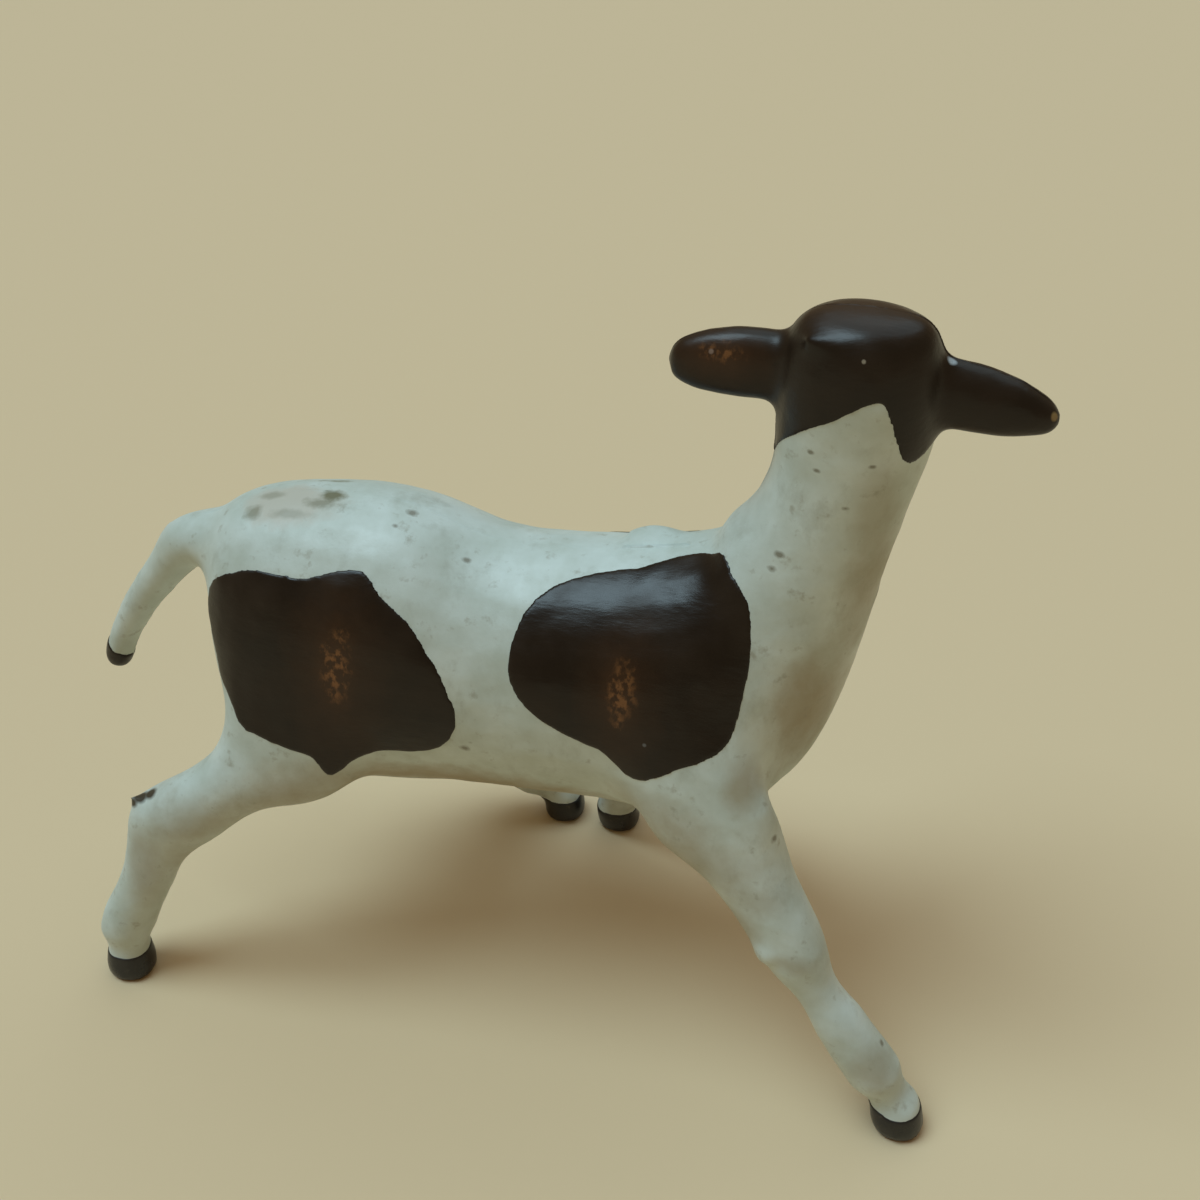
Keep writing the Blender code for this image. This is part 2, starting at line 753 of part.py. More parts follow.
def new_part(name, form, material, workshop):
    mesh = form.copy()
    mesh.name = name
    mesh.materials.clear()
    mesh.materials.append(material)
    return new_object(name, mesh, workshop.parts, workshop.origin)


def part_at_plane(name, place, normal, size, depth, form, whole, material, workshop):
    """Parts what lies beyond a plane from the whole, as a piece of its own with a gap between them."""
    zone = slab_cutter(f"{name}_zone", place, normal, size, depth, workshop.cutters, workshop.origin)
    piece = new_part(name, form, material, workshop)
    add_boolean(piece, "INTERSECT", zone)
    start = place - normal * PAINT_GAP
    wide = size + 2 * PAINT_GAP
    deep = depth + 2 * PAINT_GAP
    clear = slab_cutter(f"{name}_clearance", start, normal, wide, deep, workshop.cutters, workshop.origin)
    add_boolean(whole, "DIFFERENCE", clear)
    return piece


def head_zone(name, gap, workshop):
    """All that lies above the slanting paint line, with the tongue of paint on the right cheek."""
    normal = Vector((-math.tan(PAINT_RISE), math.tan(PAINT_FALL), 1)).normalized()
    size = CROWN_WIDTH + 2 * (EAR_LENGTH + HEAD_ZONE_CLEARANCE - gap)
    start = crown_base() - normal * gap
    zone = slab_cutter(name, start, normal, size, size, workshop.cutters, workshop.origin)
    points = [Vector((aside * CROWN_WIDTH, up * CROWN_HEIGHT)) for aside, up in TONGUE_SHARES]
    line = grown_outline(smooth_outline(points), gap)
    tongue = outline_cutter(
        f"{name}_tongue", line, -CROWN_DEPTH, CROWN_DEPTH / 2, 0, crown_base(), workshop
    )
    add_boolean(zone, "UNION", tongue)
    return zone


def eye_ball(place, radius):
    bm = bmesh.new()
    bmesh.ops.create_uvsphere(bm, u_segments=EYE_SEGMENTS, v_segments=EYE_RINGS, radius=radius)
    bmesh.ops.translate(bm, verts=bm.verts, vec=place)
    return bm


def add_eye(name, side, form, head, material, workshop):
    """A painted bead, sunk in the side of the face. The face looks along Y, so its right is at +X."""
    outward = -AHEAD * side
    level = face_root() + face_axis() * FACE_LENGTH * EYE_ALONG_SHARE
    level += face_lift() * FACE_DEPTH * EYE_LIFT_SHARE
    points = [vert.co for vert in form.vertices]
    skin = BVHTree.FromPolygons(points, [face.vertices for face in form.polygons])
    surface = skin.ray_cast(level + outward * 2 * FACE_WIDTH, -outward)[0]
    radius = EYE_DIAMETER / 2
    place = surface - outward * (radius - EYE_STAND)
    socket = eye_ball(place, radius + PAINT_GAP)
    pocket = new_cutter(f"{name}_pocket", socket, workshop.cutters, workshop.origin)
    add_boolean(head, "DIFFERENCE", pocket)
    mesh = mesh_of(name, eye_ball(place, radius))
    mesh.shade_smooth()
    mesh.materials.append(material)
    new_object(name, mesh, workshop.parts, workshop.origin)


def finish_part(obj):
    """Settles the cuts in the part's mesh, smooth over its skin and crisp where the paint ends."""
    mesh = evaluated_mesh(obj)
    mesh.name = obj.name
    obj.modifiers.clear()
    obj.data = mesh
    bm = bmesh.new()
    bm.from_mesh(mesh)
    between = [vert for vert in bm.verts if len(vert.link_edges) == 2]
    bmesh.ops.dissolve_verts(bm, verts=between)
    bmesh.ops.triangulate(bm, faces=bm.faces)
    bmesh.ops.remove_doubles(bm, verts=bm.verts, dist=WELD_DISTANCE)
    flaps = [face for face in bm.faces if any(edge.is_boundary for edge in face.edges)]
    bmesh.ops.delete(bm, geom=flaps, context="FACES")
    bmesh.ops.dissolve_degenerate(bm, dist=WELD_DISTANCE, edges=bm.edges)
    bmesh.ops.triangulate(bm, faces=bm.faces)
    bm.to_mesh(mesh)
    bm.free()
    mesh.shade_smooth()
    mesh.set_sharp_from_angle(angle=CRISP_ANGLE)


Workshop = namedtuple("Workshop", "parts cutters origin core deep_core")


def main():
    clear_scene()
    parts = new_collection("toy_calf")
    cutters = new_collection("cutters")
    cutters.hide_render = True
    origin = bpy.data.objects.new("calf_origin", None)
    parts.objects.link(origin)
    form = build_form(cutters, origin)
    form.shade_smooth()
    core = trunk_core("patch_floor", PATCH_DEPTH, cutters, origin)
    deep_core = trunk_core("pocket_floor", PATCH_DEPTH + PAINT_GAP, cutters, origin)
    workshop = Workshop(parts, cutters, origin, core, deep_core)

    white = new_material("white_paint", (0.62, 0.64, 0.58), 0.45)
    brown = new_material("brown_paint", (0.030, 0.020, 0.014), 0.35)
    black = new_material("black_paint", (0.012, 0.012, 0.013), 0.35)
    muzzle_paint = new_material("muzzle_paint", (0.42, 0.24, 0.18), 0.45)

    body = new_part("body_moulding", form, white, workshop)
    for leg in LEGS:
        place = sole_centre(leg) + UP * HOOF_HEIGHT
        size = SHANK_THICKNESS + 2 * HOOF_ZONE_CLEARANCE
        part_at_plane(f"{leg.name}_hoof", place, -UP, size, 2 * HOOF_HEIGHT, form, body, black, workshop)
    tail_end, tail_way = tail_centres()[-1], path_directions(tail_centres())[-1]
    place = tail_end - tail_way * TAIL_TIP_LENGTH
    size = 4 * TAIL_THICKNESS
    part_at_plane("tail_tip", place, tail_way, size, 2 * TAIL_TIP_LENGTH, form, body, brown, workshop)
    add_patch("right_hip_patch", RIGHT_HIP_SHARES, RIGHT, form, body, brown, workshop)
    add_patch("right_shoulder_patch", RIGHT_SHOULDER_SHARES, RIGHT, form, body, brown, workshop)
    add_patch("left_hip_patch", LEFT_HIP_SHARES, LEFT, form, body, brown, workshop)
    add_patch("left_shoulder_patch", LEFT_SHOULDER_SHARES, LEFT, form, body, brown, workshop)

    head = new_part("head", form, brown, workshop)
    add_boolean(head, "INTERSECT", head_zone("head_zone", 0, workshop))
    add_boolean(body, "DIFFERENCE", head_zone("head_clearance", PAINT_GAP, workshop))
    place = face_root() + face_axis() * (FACE_LENGTH - MUZZLE_LENGTH)
    place += face_lift() * FACE_DEPTH * MUZZLE_LIFT_SHARE
    size = MUZZLE_WIDTH_SHARE * max(FACE_WIDTH, FACE_DEPTH) + 2 * MUZZLE_ZONE_CLEARANCE
    depth = MUZZLE_LENGTH + MUZZLE_ZONE_CLEARANCE
    part_at_plane("muzzle", place, face_axis(), size, depth, form, head, muzzle_paint, workshop)
    add_eye("right_eye", RIGHT, form, head, black, workshop)
    add_eye("left_eye", LEFT, form, head, black, workshop)

    for obj in parts.objects:
        if obj.type == "MESH":
            finish_part(obj)
    middle = [(min(axis) + max(axis)) / 2 for axis in zip(*(vert.co for vert in form.vertices))]
    origin.location = (-middle[0], -middle[1], 0)


main()
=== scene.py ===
"""A small old hand-painted toy calf in a gallop, on a pale floor.

The real figure is one solid moulding with its paint brushed on. The pieces below are the moulding and
each painted zone, built over the CAD frame. Metres, +Z up, +X towards the chest, +Y to the calf's left.
"""

import math

import bpy
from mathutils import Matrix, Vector, noise as cloud


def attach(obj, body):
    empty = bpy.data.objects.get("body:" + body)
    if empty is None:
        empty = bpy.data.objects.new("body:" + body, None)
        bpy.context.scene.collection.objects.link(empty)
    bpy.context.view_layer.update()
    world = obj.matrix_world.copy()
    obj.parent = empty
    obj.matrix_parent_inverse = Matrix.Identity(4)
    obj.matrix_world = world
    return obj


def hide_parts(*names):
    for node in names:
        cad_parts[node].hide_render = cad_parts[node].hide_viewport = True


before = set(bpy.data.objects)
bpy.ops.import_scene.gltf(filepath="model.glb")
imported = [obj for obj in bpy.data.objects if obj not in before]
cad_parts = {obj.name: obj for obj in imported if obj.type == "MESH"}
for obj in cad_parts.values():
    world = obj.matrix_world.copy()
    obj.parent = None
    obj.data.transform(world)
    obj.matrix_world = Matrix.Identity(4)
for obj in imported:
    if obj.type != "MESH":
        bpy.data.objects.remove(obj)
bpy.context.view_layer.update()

# The moulding: one solid piece cast in a two-part mould and painted off-white all over before the dark
# paint. It is the CAD pieces joined again across their paint lines, with the swellings that the carver
# gave the pattern, the hollows of the ears, and the raised line where the two halves of the mould met.
MERGE_DISTANCE = 0.000002
CUT_THRESHOLD = 0.0000005
GAP_GROWTH = 0.00017
SKIN_VOXEL = 0.00027
SKIN_SMOOTH_STEPS = 14
SKIN_DRAW_BACK = 0.00013
LUMP_SIZE = 0.0034
LUMP_HEIGHT = 0.00016
FACE_TILT = math.radians(-42)
FACE_MIDDLE = 20.3
# Each swelling and each hollow: centre and half sizes in millimetres, and the tilt about X
HIP_BONES = [((-9.5, side * 5.0 - 0.5, 32.3), (1.7, 1.1, 1.0), 0) for side in (-1, 1)]
POLL_RIDGE = [((19.9, -3.1, 50.85), (3.0, 0.8, 0.5), 0)]
EAR_ROOT_KNOB = [((25.0, -0.9, 49.25), (0.45, 0.45, 0.40), 0)]
WITHERS = [((9.0, 0.8, 34.95), (2.2, 1.3, 0.55), 0)]
BROWS = [((FACE_MIDDLE + side * 3.15, 5.5, 47.9), (0.42, 1.2, 0.42), FACE_TILT) for side in (-1, 1)]
HOCK_FLASH = [((-24.3, -10.1, 15.45), (1.0, 0.35, 0.40), 0)]
KNEES = [((19.15, -10.5, 13.1), (1.3, 1.5, 1.3), 0), ((11.5, 9.2, 12.8), (1.4, 1.6, 1.3), 0)]
SWELLINGS = HIP_BONES + POLL_RIDGE + EAR_ROOT_KNOB + WITHERS + BROWS + HOCK_FLASH + KNEES
# The thin places of the legs: centre, the leg's direction there, half length and reach across in
# millimetres, and the share of the width that stays
WAISTS = [
    ((22.7, -10.6, 10.4), (0.60, -0.15, -0.78), 3.0, 4.5, 0.78),
    ((27.4, -11.6, 3.0), (0.5, 0.0, -0.87), 1.7, 4.5, 0.72),
    ((-23.4, -10.0, 11.6), (-0.25, -0.20, -0.95), 3.4, 4.5, 0.80),
    ((-26.6, -11.6, 2.6), (0.0, 0.0, 1.0), 1.7, 4.5, 0.78),
    ((8.4, 9.9, 10.0), (-0.6, 0.3, -0.74), 2.8, 4.5, 0.80),
    ((4.1, 11.4, 3.0), (-0.4, 0.1, -0.9), 1.6, 2.9, 0.70),
    ((-8.0, 9.6, 11.0), (0.55, 0.25, -0.8), 2.8, 4.5, 0.82),
    ((-1.4, 11.5, 3.0), (0.7, 0.1, -0.7), 1.6, 2.9, 0.70),
]
EAR_HOLLOWS = [((27.4, 1.2, 47.9), (2.3, 1.05, 1.10), 0), ((12.7, 1.2, 47.95), (2.1, 1.05, 1.15), 0)]
NOSTRILS = [((FACE_MIDDLE + side * 1.3, 9.02, 41.80), (0.55, 0.45, 0.38), FACE_TILT) for side in (-1, 1)]
MOUTH_CENTRE = Vector((FACE_MIDDLE, 6.42, 42.14)) / 1000
MOUTH_RADIUS = 0.0022
MOUTH_DEPTH = 0.00032
FACE_WAY = (0, math.cos(FACE_TILT), math.sin(FACE_TILT))


def activate(piece):
    """Leaves this piece alone selected and active, as a click on it would."""
    bpy.ops.object.select_all(action="DESELECT")
    piece.select_set(True)
    bpy.context.view_layer.objects.active = piece


def apply_modifier(piece, kind, **settings):
    """Adds one modifier with these settings and makes its result the piece's own mesh."""
    activate(piece)
    modifier = piece.modifiers.new(kind.lower(), kind)
    for name, value in settings.items():
        setattr(modifier, name, value)
    bpy.ops.object.modifier_apply(modifier=modifier.name)


def grow(piece, distance, even=True):
    """Moves the surface out by the distance, or in if that is negative. Even keeps flat sides parallel."""
    activate(piece)
    bpy.ops.object.mode_set(mode="EDIT")
    bpy.ops.mesh.select_all(action="SELECT")
    bpy.ops.transform.shrink_fatten(value=distance, use_even_offset=even)
    bpy.ops.object.mode_set(mode="OBJECT")


def join(pieces):
    """One piece from several, under the name of the last."""
    activate(pieces[-1])
    for piece in pieces:
        piece.select_set(True)
    bpy.ops.object.join()
    return pieces[-1]


def joined_copy(name, nodes):
    """One new mesh from copies of these CAD nodes, each with its loose triangles merged."""
    copies = []
    for node in nodes:
        copy = bpy.data.objects.new(name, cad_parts[node].data.copy())
        bpy.context.scene.collection.objects.link(copy)
        copies.append(copy)
    piece = join(copies)
    piece.name = name
    piece.data.materials.clear()
    bpy.ops.object.mode_set(mode="EDIT")
    bpy.ops.mesh.select_all(action="SELECT")
    bpy.ops.mesh.remove_doubles(threshold=MERGE_DISTANCE)
    bpy.ops.mesh.normals_make_consistent(inside=False)
    bpy.ops.object.mode_set(mode="OBJECT")
    return piece


def pebble(name, centre, radii, tilt):
    """An egg-shaped lump, to add a swelling or to carve a hollow. Its sizes are in millimetres."""
    bpy.ops.object.select_all(action="DESELECT")
    bpy.ops.mesh.primitive_uv_sphere_add(
        segments=32, ring_count=16, radius=0.001, location=Vector(centre) / 1000
    )
    lump = bpy.context.object
    lump.name = name
    lump.scale = radii
    lump.rotation_euler = (tilt, 0, 0)
    bpy.ops.object.transform_apply(location=True, rotation=True, scale=True)
    return lump


def narrow(piece, centre, way, half_length, reach, share):
    """Draws a leg in towards its axis at the centre, fading out along it and across it. Millimetres."""
    centre = Vector(centre) / 1000
    way = Vector(way).normalized()
    half_length /= 1000
    reach /= 1000
    for vert in piece.data.vertices:
        away = vert.co - centre
        along = away.dot(way)
        across = away - way * along
        if abs(along) < half_length and across.length < reach:
            fade = (1 - (along / half_length) ** 2) * (1 - (across.length / reach) ** 2)
            vert.co -= across * (1 - share) * fade**2


def carve(piece, tool):
    """Cuts the tool's shape out of the piece."""
    apply_modifier(piece, "BOOLEAN", operation="DIFFERENCE", object=tool, solver="MANIFOLD")
    bpy.data.objects.remove(tool)


def give_material(piece, material):
    """Puts the one material on all the piece's faces."""
    piece.data.materials.clear()
    piece.data.materials.append(material)
    activate(piece)
    bpy.ops.object.mode_set(mode="EDIT")
    bpy.ops.mesh.select_all(action="SELECT")
    bpy.ops.object.material_slot_assign()
    bpy.ops.object.mode_set(mode="OBJECT")


def copy_of(piece, name):
    """A second piece with the same mesh."""
    copy = bpy.data.objects.new(name, piece.data.copy())
    bpy.context.scene.collection.objects.link(copy)
    return copy


skin = joined_copy("calf_skin", sorted(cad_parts))
grow(skin, GAP_GROWTH)
apply_modifier(skin, "REMESH", mode="VOXEL", voxel_size=SKIN_VOXEL)
skin = join([pebble("swelling", *place) for place in SWELLINGS] + [skin])
apply_modifier(skin, "REMESH", mode="VOXEL", voxel_size=SKIN_VOXEL)
for place in EAR_HOLLOWS:
    carve(skin, pebble("ear_hollow", *place))
apply_modifier(skin, "REMESH", mode="VOXEL", voxel_size=SKIN_VOXEL)
apply_modifier(skin, "SMOOTH", factor=0.5, iterations=SKIN_SMOOTH_STEPS)
grow(skin, -SKIN_DRAW_BACK, even=False)
for place in WAISTS:
    narrow(skin, *place)
lumps = bpy.data.textures.new("carved_lumps", "CLOUDS")
lumps.noise_scale = LUMP_SIZE
lumps.noise_depth = 2
apply_modifier(skin, "DISPLACE", texture=lumps, texture_coords="LOCAL", strength=LUMP_HEIGHT, mid_level=0.5)

for place in NOSTRILS:
    carve(skin, pebble("nostril", *place))
bpy.ops.object.select_all(action="DESELECT")
bpy.ops.mesh.primitive_torus_add(
    major_radius=MOUTH_RADIUS,
    minor_radius=MOUTH_DEPTH,
    location=MOUTH_CENTRE,
    rotation=(FACE_TILT, 0, 0),
)
mouth = bpy.context.object
bpy.ops.object.transform_apply(location=True, rotation=True, scale=True)
bpy.ops.object.mode_set(mode="EDIT")
bpy.ops.mesh.select_all(action="SELECT")
bpy.ops.mesh.bisect(
    plane_co=MOUTH_CENTRE,
    plane_no=FACE_WAY,
    use_fill=True,
    clear_inner=True,
    threshold=CUT_THRESHOLD,
)
bpy.ops.object.mode_set(mode="OBJECT")
carve(skin, mouth)

activate(skin)
bpy.ops.object.shade_smooth()


def new_material(name, roughness):
    """A painted surface: its tree, its shader and the object's own coordinates."""
    material = bpy.data.materials.new(name)
    material.use_nodes = True
    tree = material.node_tree
    shader = tree.nodes["Principled BSDF"]
    shader.inputs["Roughness"].default_value = roughness
    shader.inputs["Metallic"].default_value = 0
    place = tree.nodes.new("ShaderNodeTexCoord").outputs["Object"]
    return material, tree, shader, place


def noise(tree, place, size, detail, rough=0.5):
    """A cloudy value from 0 to 1, with blotches of about this size in metres."""
    node = tree.nodes.new("ShaderNodeTexNoise")
    node.inputs["Scale"].default_value = 1 / size
    node.inputs["Detail"].default_value = detail
    node.inputs["Roughness"].default_value = rough
    tree.links.new(place, node.inputs["Vector"])
    return node.outputs["Fac"]


def spread(tree, value, low, high, to_low=0.0, to_high=1.0):
    """The value stretched from low-high to to_low-to_high, and held inside them."""
    node = tree.nodes.new("ShaderNodeMapRange")
    for socket, number in zip(node.inputs[1:5], (low, high, to_low, to_high)):
        socket.default_value = number
    tree.links.new(value, node.inputs["Value"])
    return node.outputs["Result"]


def blend(tree, share, first, second):
    """A colour between two colours, or sockets that carry one."""
    node = tree.nodes.new("ShaderNodeMix")
    node.data_type = "RGBA"
    tree.links.new(share, node.inputs["Factor"])
    for socket, colour in ((node.inputs["A"], first), (node.inputs["B"], second)):
        if isinstance(colour, tuple):
            socket.default_value = (*colour, 1)
        else:
            tree.links.new(colour, socket)
    return node.outputs["Result"]


def combine(tree, operation, *values):
    """One sum of arithmetic on sockets and decimal numbers."""
    node = tree.nodes.new("ShaderNodeMath")
    node.operation = operation
    for socket, value in zip(node.inputs, values):
        if isinstance(value, float):
            socket.default_value = value
        else:
            tree.links.new(value, socket)
    return node.outputs["Value"]


def stretched(tree, place, shares):
    """The place with each axis multiplied, so that blotches on it come out long and thin."""
    node = tree.nodes.new("ShaderNodeVectorMath")
    node.operation = "MULTIPLY"
    node.inputs[1].default_value = shares
    tree.links.new(place, node.inputs[0])
    return node.outputs["Vector"]


def spot(tree, place, ragged, centre, radii, edge, raggedness):
    """An egg-shaped spot with a ragged outline: 1 inside and 0 outside. Its sizes are in millimetres. The
    edge is how softly it fades, as a share of its size, and the raggedness how far its outline strays."""
    node = tree.nodes.new("ShaderNodeMapping")
    node.vector_type = "TEXTURE"
    node.inputs["Location"].default_value = Vector(centre) / 1000
    node.inputs["Scale"].default_value = Vector(radii) / 1000
    tree.links.new(place, node.inputs["Vector"])
    away = tree.nodes.new("ShaderNodeVectorMath")
    away.operation = "LENGTH"
    tree.links.new(node.outputs["Vector"], away.inputs[0])
    torn = combine(tree, "MULTIPLY_ADD", ragged, float(raggedness), away.outputs["Value"])
    middle = 1 + raggedness / 2
    return spread(tree, torn, middle + edge, middle - edge)


def bump(tree, shader, height, distance, strength):
    """Makes the surface look raised where the height is great."""
    node = tree.nodes.new("ShaderNodeBump")
    node.inputs["Distance"].default_value = distance
    node.inputs["Strength"].default_value = strength
    tree.links.new(height, node.inputs["Height"])
    tree.links.new(node.outputs["Normal"], shader.inputs["Normal"])


WHITE = (0.60, 0.675, 0.645)
WHITE_DULL = (0.47, 0.525, 0.47)
STAIN = (0.33, 0.35, 0.29)
# A warm tan, for grime and for painted shade
GRIME_AND_PAINTED_SHADE = (0.30, 0.235, 0.125)
FLECK = (0.26, 0.24, 0.17)
SMUDGE = (0.17, 0.165, 0.10)
SPECK = (0.16, 0.145, 0.10)
SPECK_SHAPE = Vector((1.3, 1.0, 0.8))
FLASH_DARK = (0.045, 0.036, 0.022)
FLASH_CHIP_SIZE = (0.62, 0.5, 0.30)
WHITE_GRAIN_HEIGHT = 0.00004
BARE_RUB = (0.51, 0.495, 0.425)
# Where the rump is rubbed and smudged: centres and half sizes in millimetres, and strengths
RUMP_RUBBED = ((-14.0, -1.7, 35.3), (3.3, 1.7, 1.6))
RUMP_SMUDGES = [
    ((-16.6, -2.4, 34.7), (0.60, 0.5, 0.5), 0.65),
    ((-15.8, -1.0, 35.3), (0.9, 0.35, 0.5), 0.45),
    ((-14.0, -2.7, 35.2), (1.3, 0.35, 0.4), 0.40),
    ((-12.3, -1.7, 35.6), (0.9, 0.4, 0.5), 0.65),
    ((-11.6, -0.9, 35.9), (0.75, 0.45, 0.5), 1.0),
    ((-12.7, 1.2, 36.0), (1.2, 0.30, 0.5), 1.0),
]
# Grime where hands and play have left it, and painted shade, a warm tan where shade falls: the neck, the
# chest, the legs' bends and under the belly
HANDLED_AND_SHADED = [
    ((22.0, -3.6, 41.0), (1.1, 2.0, 3.0), 0.35),
    ((22.3, -2.4, 36.0), (1.6, 2.4, 3.6), 0.55),
    ((18.9, -5.3, 28.0), (1.6, 2.2, 2.6), 0.55),
    ((16.3, -8.8, 24.1), (0.9, 1.5, 1.5), 0.60),
    ((18.3, -10.9, 16.9), (1.2, 1.6, 0.8), 0.35),
    ((20.8, -11.9, 13.0), (1.0, 1.6, 0.6), 0.40),
    ((26.5, -12.6, 6.0), (1.2, 1.2, 1.5), 0.45),
    ((0.0, 0.0, 18.0), (9.0, 7.5, 2.6), 0.70),
    ((-2.0, -5.0, 18.6), (8.0, 3.5, 1.8), 0.70),
    ((-14.0, -8.0, 17.0), (4.0, 3.0, 1.5), 0.55),
    ((-21.0, -9.5, 11.5), (1.6, 2.5, 3.5), 0.45),
    ((13.5, -9.5, 18.5), (3.5, 2.5, 1.8), 0.55),
    ((17.0, -10.5, 14.0), (1.3, 2.0, 2.2), 0.50),
    ((20.5, -4.5, 27.0), (2.0, 4.0, 4.5), 0.60),
    ((-10.5, -7.5, 19.0), (4.5, 2.6, 1.6), 0.60),
    ((-19.5, -9.5, 15.2), (3.6, 2.2, 1.5), 0.50),
    ((12.0, -8.0, 21.2), (3.0, 2.2, 1.4), 0.50),
    ((-24.0, -12.0, 11.0), (1.2, 1.6, 2.8), 0.45),
    ((18.0, 5.5, 26.0), (2.0, 2.5, 3.0), 0.45),
    ((-17.5, 0.5, 28.0), (1.6, 3.0, 4.0), 0.45),
    ((-11.0, 8.5, 18.0), (2.6, 2.4, 2.0), 0.45),
    ((11.0, 8.5, 19.0), (2.4, 2.4, 2.0), 0.45),
]
# Small dark specks, where they stand in the picture and a few elsewhere: centre and radius in millimetres
SPECKS = [
    ((-6.3, -1.4, 35.6), 0.26),
    ((-6.9, -2.7, 35.4), 0.13),
    ((-2.3, -3.0, 33.8), 0.20),
    ((-1.3, -7.9, 23.0), 0.27),
    ((-0.9, -7.9, 23.6), 0.13),
    ((17.0, -4.3, 38.1), 0.22),
    ((16.7, -4.4, 37.2), 0.20),
    ((18.2, -3.9, 44.7), 0.13),
    ((18.6, -4.1, 43.7), 0.13),
    ((20.4, -4.3, 41.7), 0.14),
    ((21.6, -4.2, 44.4), 0.14),
    ((18.6, -8.9, 20.7), 0.26),
    ((26.7, -11.2, 6.9), 0.20),
    ((3.5, 6.0, 33.0), 0.20),
    ((-2.0, 7.6, 22.5), 0.22),
    ((-15.0, 3.5, 34.2), 0.24),
    ((14.5, 6.6, 24.0), 0.20),
]
HOCK_CHIPS = [(-24.6, -10.1, 15.2), (-24.1, -10.0, 15.6), (-23.5, -9.9, 16.0)]

material, tree, shader, place = new_material("white_paint_aged", roughness=0.44)
mottle = spread(tree, noise(tree, place, size=0.0042, detail=4, rough=0.6), low=0.36, high=0.68)
colour = blend(tree, mottle, WHITE, WHITE_DULL)
ragged = noise(tree, place, size=0.0009, detail=4, rough=0.65)
smeared = noise(tree, place, size=0.0022, detail=4, rough=0.6)
upright = stretched(tree, place, (1.0, 1.0, 0.7))
stained = spread(tree, noise(tree, upright, size=0.0026, detail=6, rough=0.68), low=0.54, high=0.74)
colour = blend(tree, combine(tree, "MULTIPLY", stained, 0.55), colour, STAIN)
# Grime and painted shade: the warm tan laid on the neck, the chest, the legs' bends and under the belly
for centre, radii, strength in HANDLED_AND_SHADED:
    mark = spot(tree, place, smeared, centre, radii, edge=0.55, raggedness=1.2)
    colour = blend(tree, combine(tree, "MULTIPLY", mark, strength), colour, GRIME_AND_PAINTED_SHADE)
flecks = spread(tree, noise(tree, place, size=0.0011, detail=5, rough=0.62), low=0.60, high=0.72)
colour = blend(tree, combine(tree, "MULTIPLY", flecks, 0.5), colour, FLECK)
rubbed = spot(tree, place, smeared, *RUMP_RUBBED, edge=0.3, raggedness=1.4)
colour = blend(tree, rubbed, colour, BARE_RUB)
for centre, radii, strength in RUMP_SMUDGES:
    mark = spot(tree, place, ragged, centre, radii, edge=0.5, raggedness=2.0)
    colour = blend(tree, combine(tree, "MULTIPLY", mark, strength), colour, SMUDGE)
for centre, radius in SPECKS:
    mark = spot(tree, place, ragged, centre, SPECK_SHAPE * radius, edge=0.5, raggedness=2.2)
    colour = blend(tree, combine(tree, "MULTIPLY", mark, 0.8), colour, SPECK)
for centre in HOCK_CHIPS:
    mark = spot(tree, place, ragged, centre, FLASH_CHIP_SIZE, edge=0.3, raggedness=0.4)
    colour = blend(tree, mark, colour, FLASH_DARK)
tree.links.new(colour, shader.inputs["Base Color"])
tree.links.new(spread(tree, mottle, 0, 1, to_low=0.38, to_high=0.54), shader.inputs["Roughness"])
grain = noise(tree, place, size=0.0007, detail=4, rough=0.6)
bump(tree, shader, grain, WHITE_GRAIN_HEIGHT, strength=0.6)
give_material(skin, material)
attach(skin, "root")
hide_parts("body_moulding")

# The dark brown head, patches and tail tip: a second coat brushed over the white, thick enough to stand
# a hair proud of it, with soft rounded edges where the brush stopped. It is rubbed to an orange brown on
# the hip and the shoulder, where fingers hold the figure. A wide lighter brown on the top of the head is a
# painted highlight, and a pale blue-grey dot on the knob at the ear's root is a painted glint.
FILM_HEIGHT = 0.00007
ZONE_GROWTH = 0.00026
ZONE_VOXEL = 0.00018
FILM_VOXEL = 0.00014
FILM_SMOOTH_STEPS = 4
BRUSH_WANDER = 0.00034
BRUSH_WANDER_SIZE = 0.0021
# Lumps that bring the whole of each ear's tip inside the head's paint, as the swellings above
EAR_TIPS = [((10.3, -0.6, 48.2), (1.1, 1.0, 1.1), 0), ((30.3, -0.7, 47.3), (1.1, 1.0, 1.1), 0)]
# Where a stroke of the brush drew an edge up: centre, reach and lift in millimetres
NAPE_TUG = ((22.0, -3.7, 46.6), 3.2, 0.9)
TAIL_TIP_TUG = ((-30.0, -0.5, 21.0), 1.6, 0.6)


